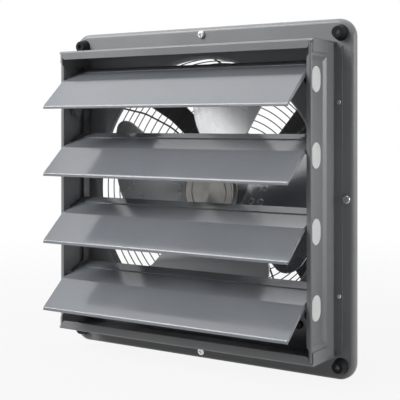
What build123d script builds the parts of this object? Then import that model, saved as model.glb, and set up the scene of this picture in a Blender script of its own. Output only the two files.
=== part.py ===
from build123d import *
import math
import os

os.makedirs("parts", exist_ok=True)

# Industrial exhaust fan for a wall opening, with a four-louvre gravity shutter in front.
# Millimetres. X runs to the right, Y from the shutter in front to the motor behind, Z up.
# The origin is the centre of the four mounting holes, on the plane where the rubber feet
# meet the wall. The fan turns about the Y axis.

# Sheet metal and common values
sheet = 1.2
overrun = 5.0
full_turn = 360
quarter_turn = 90
half_turn = 180

# Orifice panel
panel_size = 385.0
panel_sheet = 1.5
panel_corner_r = 20.0
rim_depth = 7.7
rim_bend_r = 5.0
throat_margin = 37.0
collar_lip_r = 4.0
collar_depth = 8.0

# Mounting feet with their steel sleeves
mount_inset = 15.5
mount_hole_r = 2.75
foot_height = 10.0
foot_base_r = 8.8
foot_tip_r = 6.4
sleeve_wall = 1.25
sleeve_inset = 2.0
foot_edge_r = 0.8

# Shutter box of four folded rails
box_side_margin = 21.7
box_top_margin = 24.8
box_depth = 54.2
bend_r = 1.8
long_lip = 10.0
long_lip_end = 4.6
side_lip = 3.7
side_lip_end = 15.5
lip_corner = 3.5
tab_drop = 14.0
tab_depth = 33.0
side_flange = 9.5
side_flange_end = 4.8
fold_gap = 0.1
emboss_depth = 2.4
emboss_front = 2.0
emboss_front_slope = 1.0
emboss_back = 19.0
emboss_slope = 4.5
emboss_end = 17.5

# Small screws that hold the side rails to the panel
rail_screw_r = 1.5
rail_screw_head_r = 2.3
rail_screw_head = 1.5
rail_screw_edge = 3.4
rail_screw_spread_share = 0.307

# Cross recesses, shank clearance and protruding tails common to the screws
recess_length_share = 1.1
recess_width_share = 0.28
recess_depth_share = 0.45
head_round_share = 0.45
screw_clearance = 0.1
screw_tail = 2.5

# Louvres: sheet blades bent once, hinged near their rear edge
louvre_count = 4
first_pivot_drop = 34.4
last_pivot_rise = 64.6
pivot_setback = 15.2
louvre_end_margin = 8.3
upper_band_front = 18.7
upper_band_back = 27.6
upper_angle = 21.4
lower_band = 44.4
lower_angle = 41.8
hem_lip = 3.2
hem_angle = 82.0
pivot_below_sheet = 4.4
louvre_bend_r = 2.5
end_flange = 8.5
ear_front = 6.0
bend_flange = 4.0
hem_flange = 2.0
bead_width = 6.5
bead_height = 1.0
bead_inset = 10.0
bead_from_back = 13.0

# Louvre pivots and their nylon bushes
pivot_r = 2.0
pivot_clearance = 0.05
pivot_head_r = 3.6
pivot_head = 1.2
bush_width = 19.6
bush_height = 27.0
bush_plate = 1.4
bush_margin = 2.2
bush_drop = 7.0
bush_forward = 2.0
bush_skin = 0.8
bush_clearance = 0.1
collar_r = 4.2
collar_reach = 2.0

# Cranks, tie bar and balance weight on the left ends of the louvres
crank_plate = 1.0
crank_setback = 12.5
crank_rise = 13.0
crank_r = 4.2
crank_pin_r = 2.5
link_gap = 0.3
tie_bar_sheet = 1.0
tie_bar_front = 4.4
tie_bar_rear = 6.4
tie_bar_end = 5.2
slot_front = 2.8
slot_rear = 4.4
slot_half_height = 2.8
weight_drop = 36.0
weight_back = 7.0
weight_r = 9.0
weight_arm_r = 5.0
weight_thickness = 2.6
weight_margin = 1.6

# Wire guard behind the rotor, a shallow basket of rings on bent ribs
ring_wire_r = 0.65
rib_wire_r = 1.1
weld_gap = 0.05
guard_rim_margin = 6.0
guard_rim_wire_r = 2.0
guard_side_inset = 6.0
guard_side_depth = 50.0
guard_corner_inset = 33.5
guard_corner_depth = 75.0
guard_eye_r = 52.0
guard_eye_depth = 82.0
guard_bend_r = 22.0
guard_first_ring = 11.0
ring_count = 17
rib_count = 7
rib_angle = 142.0
tab_count = 4
tab_length = 26.0
tab_screw_inset = 5.8
tab_width = 12.0
tab_sheet = 1.5

# Pan-head screws and nuts that hold the guard tabs to the panel
tab_screw_r = 2.0
tab_head_r = 4.4
tab_head = 2.8
tab_nut_r = 4.0
tab_nut = 3.2

# Four-armed motor spider of flat steel, with its bolts and nuts
arm_count = 4
arm_width = 28.0
arm_sheet = 2.0
arm_angle = 45.0
arm_foot_end = 10.0
arm_foot_heel = 11.0
arm_shoulder_lean = 8.5
arm_shoulder_depth = 58.0
arm_elbow_lean = 34.5
arm_elbow_drop = 11.5
arm_crown_r = 76.0
arm_root_r = 30.0
arm_plate_r = 48.0
arm_foot_bend_r = 4.0
arm_shoulder_bend_r = 30.0
arm_elbow_bend_r = 30.0
arm_crown_bend_r = 10.0
arm_bolt_r = 2.5
arm_bolt_head_r = 4.6
arm_bolt_head = 2.8
arm_bolt_margin = 32.5
arm_bolt_spread = 8.0
arm_nut_r = 4.6
arm_nut = 4.0

# Motor: the can turns round a fixed stator
can_r = 33.0
can_front_depth = 15.0
can_length = 62.0
can_wall = 2.6
can_edge_r = 1.6
groove_r = 24.0
groove_depth = 0.8
can_boss_r = 8.5
can_boss = 5.0
cage_wall = 4.2
cage_inset = 8.0
cage_length = 40.0
air_gap = 0.5
shaft_r = 4.0
shaft_cover = 1.2
shaft_fit = 0.03
shaft_tail = 5.0
clip_r = 6.0
clip_width = 1.0
clip_gap = 0.3
clip_groove = 0.4
bearing_r = 11.0
bearing_width = 7.0
bearing_shield_out = 9.2
bearing_shield_in = 5.8
bearing_shield_depth = 0.4
tube_wall = 2.2
tube_step = 1.5
tube_gap = 1.0
core_length = 34.0
core_inset = 11.0
core_slots = 12
slot_inner_r = 16.5
slot_outer_r = 22.0
slot_width = 3.4
slot_mouth = 1.2
slot_liner = 0.1
winding_length = 7.0
winding_inner_r = 14.4
winding_outer_r = 22.6
shield_gap = 1.5
shield_thickness = 3.0
neck_r = 26.0
neck_length = 17.5
base_r = 44.0
base_thickness = 4.0
wire_hole_r = 6.0
base_bolt_circle_r = 38.0
base_bolt_r = 2.0
base_bolt_head_r = 3.6
base_bolt_head = 2.2

# Fan wheel: four pitched sheet blades riveted to brackets on a pressed sleeve
blade_count = 4
blade_tip_gap = 7.5
blade_root_r = 37.0
blade_sheet = 1.5
blade_first_angle = 51.0
blade_span_angle = 72.0
blade_tip_overhang = 2.0
blade_tip_depth = 31.0
blade_tip_pitch = 21.0
blade_root_station = 28.0
blade_root_depth = 40.0
blade_root_pitch = 32.0
blade_lead_r = 20.0
blade_trail_r = 50.0
hub_sheet = 2.0
hub_front_depth = 22.0
hub_length = 40.0
bracket_sheet = 2.0
bracket_inner_r = 34.0
bracket_reach = 70.0
bracket_width = 28.0
bracket_corner_r = 5.0
rivet_r = 2.0
rivet_head_r = 3.6
rivet_head = 1.2
rivet_spread = 8.0
rivet_inner_r = 48.0
rivet_outer_r = 61.0

# Terminal box behind the motor, with its lid, fittings and cord gland
term_width = 84.0
term_height = 66.0
term_depth = 34.0
term_wall = 2.0
term_corner_r = 6.0
lid_thickness = 2.5
lid_screw_r = 1.5
lid_screw_inset = 5.6
lid_screw_length = 12.0
lid_boss_r = 4.0
lid_head_r = 2.8
lid_head = 1.6
gland_bore_r = 4.0
gland_body_r = 7.5
gland_thread_r = 6.0
gland_thread_tail = 1.5
gland_gap = 0.2
gland_body = 14.0
gland_edge_r = 1.5
gland_hex_r = 10.0
gland_hex = 5.0
gland_nut_height = 4.0
block_width = 36.0
block_depth = 12.0
block_height = 14.0
block_drop = 16.0
block_ways = 4
block_pocket_r = 2.4
block_pocket = 5.0
capacitor_r = 11.0
capacitor_length = 40.0
capacitor_edge_r = 1.5
capacitor_rise = 16.0

# Places worked out from the values above
throat_r = panel_size / 2 - throat_margin
mount_spacing = panel_size - 2 * mount_inset
box_width = panel_size - 2 * box_side_margin
box_height = panel_size - 2 * box_top_margin
louvre_pitch = (box_height - first_pivot_drop - last_pivot_rise) / (louvre_count - 1)
louvre_half = box_width / 2 - louvre_end_margin
rail_screw_spread = box_height * rail_screw_spread_share
guard_rim_r = throat_r + guard_rim_margin
guard_side_r = throat_r - guard_side_inset
guard_corner_r = throat_r - guard_corner_inset
tab_inner_r = guard_rim_r + guard_rim_wire_r + weld_gap
tab_reach = tab_inner_r + tab_length
tab_screw_reach = tab_reach - tab_screw_inset
arm_bolt_reach = throat_r + arm_bolt_margin
arm_foot_out = arm_bolt_reach + arm_foot_end
arm_foot_in = arm_bolt_reach - arm_foot_heel
arm_shoulder_r = arm_foot_in - arm_shoulder_lean
arm_elbow_r = arm_shoulder_r - arm_elbow_lean
arm_plate_depth = can_front_depth + can_length + shield_gap + shield_thickness + neck_length
arm_elbow_depth = arm_plate_depth - arm_elbow_drop
blade_tip_r = throat_r - blade_tip_gap
blade_tip_station = blade_tip_r + blade_tip_overhang
blade_strip = blade_tip_station + blade_tip_station / 2
panel_front = foot_height
panel_back = panel_front + panel_sheet
box_front = panel_front - box_depth
long_web_z = box_height / 2 - sheet / 2
side_web_x = box_width / 2 - sheet - fold_gap - sheet / 2
side_outer_x = side_web_x + sheet / 2
side_inner_x = side_web_x - sheet / 2
emboss_outer_x = side_outer_x - emboss_depth
emboss_inner_x = side_inner_x - emboss_depth
emboss_width = box_depth - emboss_front - emboss_back
emboss_y = box_front + emboss_front + emboss_width / 2
emboss_height = box_height - 2 * emboss_end
emboss_floor_width = emboss_width - emboss_front_slope - emboss_slope
emboss_floor_shift = (emboss_front_slope - emboss_slope) / 2
side_flange_x = side_outer_x + side_flange / 2
rail_screw_x = side_outer_x + side_flange - rail_screw_edge
pivot_y = box_front + pivot_setback
crank_back = panel_front - crank_setback - pivot_y
first_pivot_z = box_height / 2 - first_pivot_drop
pivot_heights = [first_pivot_z - louvre_pitch * n for n in range(louvre_count)]
crank_inner_x = louvre_half
crank_outer_x = crank_inner_x + crank_plate
bar_inner_x = crank_outer_x + link_gap
bush_bore_end_x = emboss_outer_x + bush_plate - bush_skin
can_front_y = panel_front + can_front_depth
can_back_y = can_front_y + can_length
plate_front_y = panel_front + arm_plate_depth
plate_back_y = plate_front_y + arm_sheet
base_front_y = plate_front_y - base_thickness
shield_front_y = can_back_y + shield_gap
tube_r = bearing_r + tube_wall
tube_front_y = can_front_y + can_wall + can_boss + tube_gap
core_front_y = can_front_y + can_wall + core_inset
core_r = can_r - can_wall - cage_wall - air_gap


def front_plane(y):
    """Plane square to the air stream: sketch axes X and Z, extrusions run towards the front."""
    return Plane.XZ.offset(-y)


def back_plane(y):
    """Plane seen from behind: sketch axes -X and Z, extrusions run towards the back."""
    return Plane(origin=(0, y, 0), x_dir=(-1, 0, 0), z_dir=(0, 1, 0))


def side_plane(x):
    """Plane square to the X axis: sketch axes Y and Z, extrusions run to the right."""
    return Plane.YZ.offset(x)


def radial_plane(angle):
    """Plane holding the fan axis at an angle round it: sketch axes radius and Y."""
    direction = Vector(1, 0, 0).rotate(Axis.Y, -angle)
    return Plane(origin=(0, 0, 0), x_dir=direction, z_dir=direction.cross(Vector(0, 1, 0)))


def around(radius, angle, step=0):
    """Place in a front plane at a radius and angle, moved sideways by a step."""
    turn = math.radians(angle)
    across = radius * math.cos(turn) - step * math.sin(turn)
    return across, radius * math.sin(turn) + step * math.cos(turn)


def corners(width, height):
    """The four corners of a rectangle about the middle of the sketch."""
    return [(x * width / 2, z * height / 2) for x in (-1, 1) for z in (-1, 1)]


def along(angle, length):
    """Step of a given length in a sketch plane, at an angle up from its first axis."""
    return Vector(length * math.cos(math.radians(angle)), length * math.sin(math.radians(angle)))


def screws(plane, places, shank_r, shank, head_r, head):
    """Pan-head screws with cross recesses: heads stand on the plane, shanks run below it."""
    with BuildPart() as group:
        with BuildSketch(plane):
            with Locations(*places):
                Circle(head_r)
        extrude(amount=head)
        tops = group.faces().group_by(Axis(plane.origin, plane.z_dir))[-1]
        fillet(tops.edges(), radius=head * head_round_share)
        with BuildSketch(plane):
            with Locations(*places):
                Circle(shank_r)
        extrude(amount=-shank)
        with BuildSketch(plane.offset(head)):
            with Locations(*places):
                Rectangle(head_r * recess_length_share, head_r * recess_width_share)
                Rectangle(head_r * recess_width_share, head_r * recess_length_share)
        extrude(amount=-head * recess_depth_share, mode=Mode.SUBTRACT)
    return group


def nuts(plane, places, bore_r, nut_r, height):
    """Hexagon nuts standing on the plane."""
    with BuildPart() as group:
        with BuildSketch(plane):
            with Locations(*places):
                RegularPolygon(nut_r, 6)
                Circle(bore_r, mode=Mode.SUBTRACT)
        extrude(amount=height)
    return group


def save(piece, name):
    """Label the finished piece and write it as its own file."""
    piece.part.label = name
    export_step(piece.part, f"parts/{name}.step")


mount_places = corners(mount_spacing, mount_spacing)
rail_screw_places = corners(2 * rail_screw_x, 2 * rail_screw_spread)
tab_screw_places = [around(tab_screw_reach, full_turn / tab_count * n) for n in range(tab_count)]
arm_angles = [arm_angle + full_turn / arm_count * n for n in range(arm_count)]
arm_bolt_places = [
    around(arm_bolt_reach, angle, side * arm_bolt_spread) for angle in arm_angles for side in (-1, 1)
]
base_bolt_places = [around(base_bolt_circle_r, angle) for angle in arm_angles]

# Orifice panel: one pressed sheet with its rim turned back and a rounded collar at the opening
with BuildPart() as orifice_panel:
    with BuildSketch(front_plane(panel_front)):
        RectangleRounded(panel_size, panel_size, panel_corner_r)
    extrude(amount=-rim_depth)
    fillet(orifice_panel.faces().sort_by(Axis.Y)[0].edges(), radius=rim_bend_r)
    with BuildSketch(front_plane(panel_back)):
        RectangleRounded(
            panel_size - 2 * panel_sheet, panel_size - 2 * panel_sheet, panel_corner_r - panel_sheet
        )
    extrude(amount=-rim_depth, mode=Mode.SUBTRACT)
    with BuildSketch(front_plane(panel_back)):
        Circle(throat_r + collar_lip_r)
        with Locations(*mount_places):
            Circle(mount_hole_r)
        with Locations(*tab_screw_places):
            Circle(tab_screw_r + screw_clearance)
        with Locations(*rail_screw_places):
            Circle(rail_screw_r + screw_clearance)
        with Locations(*arm_bolt_places):
            Circle(arm_bolt_r + screw_clearance)
    extrude(amount=panel_sheet, mode=Mode.SUBTRACT)
    with BuildSketch(Plane.XY):
        with BuildLine():
            lip_centre = (throat_r + collar_lip_r, panel_front + collar_lip_r)
            air_arc = CenterArc(lip_centre, collar_lip_r, half_turn, quarter_turn)
            back_arc = CenterArc(lip_centre, collar_lip_r - panel_sheet, half_turn, quarter_turn)
            Line(air_arc @ 1, back_arc @ 1)
            Polyline(
                air_arc @ 0,
                (throat_r, panel_front + collar_depth),
                (throat_r + panel_sheet, panel_front + collar_depth),
                back_arc @ 0,
            )
        make_face()
    revolve(axis=Axis.Y)
save(orifice_panel, "orifice_panel")

# Rubber feet: four tapered buffers that bear on the wall, each moulded over the steel sleeve
# that its bolt goes through
sleeve_r = mount_hole_r + sleeve_wall
foot_taper = math.degrees(math.atan((foot_base_r - foot_tip_r) / foot_height))
with BuildPart() as mounting_feet:
    with BuildSketch(front_plane(panel_front)):
        with Locations(*mount_places):
            Circle(foot_base_r)
    extrude(amount=foot_height, taper=foot_taper)
    fillet(mounting_feet.faces().filter_by(Axis.Y).group_by(Axis.Y)[0].edges(), radius=foot_edge_r)
    with BuildSketch(front_plane(panel_front)):
        with Locations(*mount_places):
            Circle(sleeve_r)
    extrude(amount=foot_height - sleeve_inset, mode=Mode.SUBTRACT)
    with BuildSketch(front_plane(panel_front)):
        with Locations(*mount_places):
            Circle(mount_hole_r)
    extrude(amount=foot_height, mode=Mode.SUBTRACT)
save(mounting_feet, "mounting_feet")

with BuildPart() as foot_sleeves:
    with BuildSketch(front_plane(panel_front)):
        with Locations(*mount_places):
            Circle(sleeve_r)
            Circle(mount_hole_r, mode=Mode.SUBTRACT)
    extrude(amount=foot_height - sleeve_inset)
save(foot_sleeves, "foot_sleeves")


def long_rail(up):
    """Top or bottom rail: a web with a front lip, and end tabs folded over the side rails."""
    z = up * long_web_z
    lip_z = up * (box_height / 2 - long_lip)
    tab_z = up * (box_height / 2 - tab_drop / 2)
    with BuildPart() as rail:
        with BuildSketch(Plane.YZ):
            with BuildLine():
                FilletPolyline(
                    (box_front + sheet / 2, up * (box_height / 2 - bend_r - sheet)),
                    (box_front + sheet / 2, z),
                    (panel_front, z),
                    radius=bend_r,
                )
            trace(line_width=sheet)
        extrude(amount=box_width / 2, both=True)
        with BuildSketch(front_plane(box_front + sheet)) as lip:
            with Locations((0, (lip_z + up * (box_height / 2 - bend_r)) / 2)):
                Rectangle(box_width - 2 * long_lip_end, long_lip - bend_r)
            free_edge = lip.vertices().group_by(Axis.Y)[0 if up > 0 else -1]
            fillet(free_edge, radius=lip_corner)
        extrude(amount=sheet)
        for side in (-1, 1):
            with BuildSketch(side_plane(side * (box_width / 2 - sheet / 2))):
                with Locations((box_front + bend_r + tab_depth / 2, tab_z)):
                    Rectangle(tab_depth, tab_drop)
            extrude(amount=sheet / 2, both=True)
    return rail


save(long_rail(1), "top_rail")
save(long_rail(-1), "bottom_rail")

bush_places = [(pivot_y - bush_forward, z - bush_drop) for z in pivot_heights]
boss_height = bush_height - 2 * bush_margin
boss_width = bush_width - 2 * bush_margin


def side_rail(side):
    """Side rail: front lip, web with a pressed-in panel, and a rear flange on the orifice panel."""
    web_half = box_height / 2 - sheet - fold_gap
    web_back = panel_front - box_front - tab_depth
    lip_half = box_height / 2 - side_lip_end
    flange_half = box_height / 2 - side_flange_end
    inward = Plane(origin=(side * side_inner_x, emboss_y, 0), x_dir=(0, 1, 0), z_dir=(-side, 0, 0))
    with BuildPart() as rail:
        with BuildSketch(Plane.XY):
            with BuildLine():
                FilletPolyline(
                    (side * (side_inner_x - bend_r), box_front + sheet / 2),
                    (side * side_web_x, box_front + sheet / 2),
                    (side * side_web_x, panel_front),
                    radius=bend_r,
                )
            trace(line_width=sheet)
        extrude(amount=web_half - bend_r, both=True)
        with BuildSketch(side_plane(side * side_web_x)):
            with Locations((panel_front - web_back / 2, 0)):
                Rectangle(web_back, 2 * web_half)
        extrude(amount=sheet / 2, both=True)
        with BuildSketch(front_plane(box_front + sheet)) as lip:
            with Locations((side * (side_outer_x - bend_r - side_lip / 2), 0)):
                Rectangle(side_lip, 2 * lip_half)
            free_edge = lip.vertices().group_by(Axis.X)[0 if side > 0 else -1]
            chamfer(free_edge, length=lip_corner)
        extrude(amount=sheet)
        with BuildSketch(front_plane(panel_front)):
            with Locations((side * (side_flange_x - sheet / 2), 0)):
                Rectangle(side_flange + sheet, 2 * flange_half)
            with Locations(*rail_screw_places):
                Circle(rail_screw_r + screw_clearance, mode=Mode.SUBTRACT)
        extrude(amount=sheet)
        for depth, mode in ((0, Mode.ADD), (-sheet, Mode.SUBTRACT)):
            with BuildSketch(inward.offset(depth)):
                Rectangle(emboss_width, emboss_height)
            with BuildSketch(inward.offset(depth + emboss_depth)):
                with Locations((emboss_floor_shift, 0)):
                    Rectangle(emboss_floor_width, emboss_height - 2 * emboss_slope)
            loft(mode=mode)
        with BuildSketch(side_plane(side * emboss_inner_x)):
            with Locations(*bush_places):
                SlotOverall(boss_height, boss_width, rotation=quarter_turn)
        extrude(amount=side * sheet, mode=Mode.SUBTRACT)
    return rail


save(side_rail(-1), "left_rail")
save(side_rail(1), "right_rail")

# Small screws through the side rail flanges into the panel
rail_screw_length = sheet + panel_sheet + screw_tail
rail_screws = screws(
    front_plane(panel_front - sheet),
    rail_screw_places,
    rail_screw_r,
    rail_screw_length,
    rail_screw_head_r,
    rail_screw_head,
)
save(rail_screws, "rail_screws")

# Nylon pivot bushes: an oblong plate outside the rail, a boss through it and a collar inside
with BuildPart() as pivot_bushes:
    for side in (-1, 1):
        with BuildSketch(side_plane(side * emboss_outer_x)):
            with Locations(*bush_places):
                SlotOverall(bush_height, bush_width, rotation=quarter_turn)
        extrude(amount=side * bush_plate)
        with BuildSketch(side_plane(side * emboss_outer_x)):
            with Locations(*bush_places):
                SlotOverall(
                    boss_height - 2 * bush_clearance, boss_width - 2 * bush_clearance, rotation=quarter_turn
                )
        extrude(amount=-side * sheet)
        with BuildSketch(side_plane(side * emboss_inner_x)):
            with Locations(*[(pivot_y, z) for z in pivot_heights]):
                Circle(collar_r)
        extrude(amount=-side * collar_reach)
    with BuildSketch(Plane.YZ):
        with Locations(*[(pivot_y, z) for z in pivot_heights]):
            Circle(pivot_r + pivot_clearance)
    extrude(amount=bush_bore_end_x, both=True, mode=Mode.SUBTRACT)
save(pivot_bushes, "pivot_bushes")


def louvre_path(pivot_z):
    """Middle line of a louvre's sheet, from its rear edge over the bend to the hem."""
    pivot = Vector(pivot_y, pivot_z)
    over_pivot = pivot + along(upper_angle + quarter_turn, pivot_below_sheet)
    rear = over_pivot + along(upper_angle, upper_band_back)
    bend = over_pivot - along(upper_angle, upper_band_front)
    hem = bend - along(lower_angle, lower_band)
    lip = hem - along(hem_angle, hem_lip)
    return rear, bend, hem, lip


def louvre(pivot_z):
    """Bent sheet with a hem along the front, a bead along the rear and a folded flange at each end."""
    rear, bend, hem, lip = louvre_path(pivot_z)
    ear = rear - along(upper_angle, upper_band_back + ear_front)
    ear_normal = along(upper_angle - quarter_turn, end_flange)
    bead = rear - along(upper_angle, bead_from_back) + along(upper_angle + quarter_turn, sheet / 2)
    tilt = math.radians(upper_angle)
    lift = (0, -math.sin(tilt), math.cos(tilt))
    bead_plane = Plane(origin=(0, bead.X, bead.Y), x_dir=(1, 0, 0), z_dir=lift)
    with BuildPart() as blade:
        with BuildSketch(Plane.YZ):
            with BuildLine():
                FilletPolyline(rear, bend, hem, lip, radius=louvre_bend_r)
            trace(line_width=sheet)
        extrude(amount=louvre_half, both=True)
        for side in (-1, 1):
            with BuildSketch(side_plane(side * louvre_half)):
                with BuildLine():
                    Polyline(
                        rear,
                        bend,
                        hem,
                        hem + along(lower_angle - quarter_turn, hem_flange),
                        bend + along(lower_angle - quarter_turn, bend_flange),
                        ear + ear_normal,
                        rear + ear_normal,
                        close=True,
                    )
                make_face()
            extrude(amount=-side * sheet)
        with BuildSketch(bead_plane):
            SlotOverall(2 * (louvre_half - bead_inset), bead_width)
        extrude(amount=bead_height)
        with BuildSketch(Plane.YZ):
            with Locations((pivot_y, pivot_z)):
                Circle(pivot_r + pivot_clearance)
        extrude(amount=louvre_half, both=True, mode=Mode.SUBTRACT)
    return blade


def louvre_pivots(pivot_z):
    """Headed pins through a louvre's end flanges into the bushes."""
    head_x = louvre_half - sheet
    with BuildPart() as pins:
        for side in (-1, 1):
            with BuildSketch(side_plane(side * head_x)):
                with Locations((pivot_y, pivot_z)):
                    Circle(pivot_head_r)
            extrude(amount=-side * pivot_head)
            with BuildSketch(side_plane(side * head_x)):
                with Locations((pivot_y, pivot_z)):
                    Circle(pivot_r)
            extrude(amount=side * (bush_bore_end_x - bush_clearance - head_x))
    return pins


def louvre_crank(pivot_z, has_weight):
    """Crank plate on a louvre's left end, with the pin that works the tie bar."""
    pin = Vector(pivot_y + crank_back, pivot_z + crank_rise)
    weight = Vector(pivot_y + weight_back, pivot_z - weight_drop)
    with BuildPart() as crank:
        with BuildSketch(side_plane(-crank_inner_x)):
            with BuildSketch(mode=Mode.ADD) as lever:
                with Locations((pivot_y, pivot_z), pin):
                    Circle(crank_r)
                make_hull(lever.edges())
            if has_weight:
                with BuildSketch(mode=Mode.ADD) as arm:
                    with Locations((pivot_y, pivot_z)):
                        Circle(weight_arm_r)
                    with Locations(weight):
                        Circle(weight_r)
                    make_hull(arm.edges())
            with Locations((pivot_y, pivot_z)):
                Circle(pivot_r + pivot_clearance, mode=Mode.SUBTRACT)
        extrude(amount=-crank_plate)
        with BuildSketch(side_plane(-crank_outer_x)):
            with Locations(pin):
                Circle(crank_pin_r)
        extrude(amount=-(link_gap + tie_bar_sheet))
    return crank


for number, pivot_z in enumerate(pivot_heights, start=1):
    save(louvre(pivot_z), f"louvre_{number}")
    save(louvre_pivots(pivot_z), f"louvre_pivots_{number}")
    save(louvre_crank(pivot_z, number == 1), f"louvre_crank_{number}")

# Balance weight: a steel slug on the inner face of the first louvre's weight arm
with BuildPart() as balance_weight:
    with BuildSketch(side_plane(-crank_inner_x)):
        with Locations((pivot_y + weight_back, first_pivot_z - weight_drop)):
            Circle(weight_r - weight_margin)
    extrude(amount=weight_thickness)
save(balance_weight, "balance_weight")

# Tie bar: a flat strip whose slots take the four crank pins, so the louvres move together
pin_y = pivot_y + crank_back
pin_heights = [z + crank_rise for z in pivot_heights]
bar_top = pin_heights[0] + tie_bar_end
bar_bottom = pin_heights[-1] - tie_bar_end
with BuildPart() as tie_bar:
    with BuildSketch(side_plane(-bar_inner_x)):
        with Locations((pin_y + (tie_bar_rear - tie_bar_front) / 2, (bar_top + bar_bottom) / 2)):
            Rectangle(tie_bar_front + tie_bar_rear, bar_top - bar_bottom)
        with Locations(*[(pin_y + (slot_rear - slot_front) / 2, z) for z in pin_heights]):
            Rectangle(slot_front + slot_rear, 2 * slot_half_height, mode=Mode.SUBTRACT)
    extrude(amount=-tie_bar_sheet)
save(tie_bar, "tie_bar")

# Wire guard: a rim ring and thin rings inside bent ribs, all following one basket profile
rim = Vector(guard_rim_r, panel_back + guard_rim_wire_r)
side_start = rim + Vector(guard_rim_wire_r - ring_wire_r, 0)
side_end = Vector(guard_side_r, panel_front + guard_side_depth)
corner_end = Vector(guard_corner_r, panel_front + guard_corner_depth)
eye = Vector(guard_eye_r, panel_front + guard_eye_depth)
ring_curve = FilletPolyline(side_start, side_end, corner_end, eye, radius=guard_bend_r)
first_share = guard_first_ring / ring_curve.length
ring_shares = [first_share + (1 - first_share) * n / (ring_count - 1) for n in range(ring_count)]
with BuildPart() as guard_rings:
    with BuildSketch(Plane.XY):
        with Locations(*[ring_curve @ share for share in ring_shares]):
            Circle(ring_wire_r)
        with Locations(rim):
            Circle(guard_rim_wire_r)
    revolve(axis=Axis.Y)
save(guard_rings, "guard_rings")


def outside(start, end):
    """Unit vector square to a stretch of the profile, pointing out of the basket."""
    run = (end - start).normalized()
    return Vector(run.Y, -run.X)


rib_offset = ring_wire_r + rib_wire_r + weld_gap
side_out = outside(side_start, side_end)
corner_out = outside(side_end, corner_end)
back_out = outside(corner_end, eye)
rib_path = [
    side_start + side_out * rib_offset,
    side_end + (side_out + corner_out) * (rib_offset / (1 + side_out.dot(corner_out))),
    corner_end + (corner_out + back_out) * (rib_offset / (1 + corner_out.dot(back_out))),
    eye + back_out * rib_offset,
]
with BuildPart() as guard_ribs:
    for n in range(rib_count):
        plane = radial_plane(rib_angle + full_turn / rib_count * n)
        with BuildLine(plane) as wire:
            places = [(point.X, point.Y) for point in rib_path]
            FilletPolyline(*places, radius=guard_bend_r + rib_offset)
        with BuildSketch(Plane(origin=wire.line @ 0, z_dir=wire.line % 0)):
            Circle(rib_wire_r)
        sweep(path=wire.line)
save(guard_ribs, "guard_ribs")

# Guard tabs: flat lugs welded to the rim ring, each screwed to the panel
with BuildPart() as guard_tabs:
    with BuildSketch(front_plane(panel_back)):
        with PolarLocations((tab_inner_r + tab_reach) / 2, tab_count):
            Rectangle(tab_reach - tab_inner_r, tab_width)
        with Locations(*tab_screw_places):
            Circle(tab_screw_r + screw_clearance, mode=Mode.SUBTRACT)
    extrude(amount=-tab_sheet)
save(guard_tabs, "guard_tabs")

tab_back_y = panel_back + tab_sheet
tab_screw_length = panel_sheet + tab_sheet + tab_nut + screw_tail
guard_screws = screws(
    front_plane(panel_front), tab_screw_places, tab_screw_r, tab_screw_length, tab_head_r, tab_head
)
save(guard_screws, "guard_screws")
save(nuts(back_plane(tab_back_y), tab_screw_places, tab_screw_r, tab_nut_r, tab_nut), "guard_nuts")

# Motor spider: four flat arms bent over the guard and welded into a round plate
arm_path = [
    (arm_foot_out, panel_back + arm_sheet / 2),
    (arm_foot_in, panel_back + arm_sheet / 2),
    (arm_shoulder_r, panel_front + arm_shoulder_depth),
    (arm_elbow_r, panel_front + arm_elbow_depth),
    (arm_crown_r, plate_front_y + arm_sheet / 2),
    (arm_root_r, plate_front_y + arm_sheet / 2),
]
arm_bends = [arm_foot_bend_r, arm_shoulder_bend_r, arm_elbow_bend_r, arm_crown_bend_r]
with BuildPart() as motor_spider:
    for angle in arm_angles:
        with BuildSketch(radial_plane(angle)):
            with BuildLine():
                FilletPolyline(*arm_path, radius=arm_bends)
            trace(line_width=arm_sheet)
        extrude(amount=arm_width / 2, both=True)
    with BuildSketch(front_plane(plate_back_y)):
        Circle(arm_plate_r)
    extrude(amount=arm_sheet)
    with BuildSketch(front_plane(plate_back_y)):
        Circle(wire_hole_r)
        with Locations(*base_bolt_places):
            Circle(base_bolt_r + screw_clearance)
    extrude(amount=arm_sheet, mode=Mode.SUBTRACT)
    with BuildSketch(front_plane(panel_back + arm_sheet)):
        with Locations(*arm_bolt_places):
            Circle(arm_bolt_r + screw_clearance)
    extrude(amount=arm_sheet, mode=Mode.SUBTRACT)
save(motor_spider, "motor_spider")

arm_bolt_length = panel_sheet + arm_sheet + arm_nut + screw_tail
spider_bolts = screws(
    front_plane(panel_front), arm_bolt_places, arm_bolt_r, arm_bolt_length, arm_bolt_head_r, arm_bolt_head
)
save(spider_bolts, "spider_bolts")
arm_nut_plane = back_plane(panel_back + arm_sheet)
save(nuts(arm_nut_plane, arm_bolt_places, arm_bolt_r, arm_nut_r, arm_nut), "spider_nuts")

# Stator flange: one casting with the bearing tube, a shield that closes the can, and the base
front_seat_end_y = tube_front_y + bearing_width
with BuildPart() as stator_flange:
    with BuildSketch(Plane.XY):
        Polygon(
            (bearing_r, tube_front_y),
            (tube_r, tube_front_y),
            (tube_r, shield_front_y),
            (can_r, shield_front_y),
            (can_r, shield_front_y + shield_thickness),
            (neck_r, shield_front_y + shield_thickness),
            (neck_r, base_front_y),
            (base_r, base_front_y),
            (base_r, plate_front_y),
            (bearing_r, plate_front_y),
            (bearing_r, shield_front_y),
            (bearing_r - tube_step, shield_front_y),
            (bearing_r - tube_step, front_seat_end_y),
            (bearing_r, front_seat_end_y),
            align=None,
        )
    revolve(axis=Axis.Y)
    with BuildSketch(front_plane(plate_front_y)):
        with Locations(*base_bolt_places):
            Circle(base_bolt_r)
    extrude(amount=base_thickness, mode=Mode.SUBTRACT)
save(stator_flange, "stator_flange")

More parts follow.
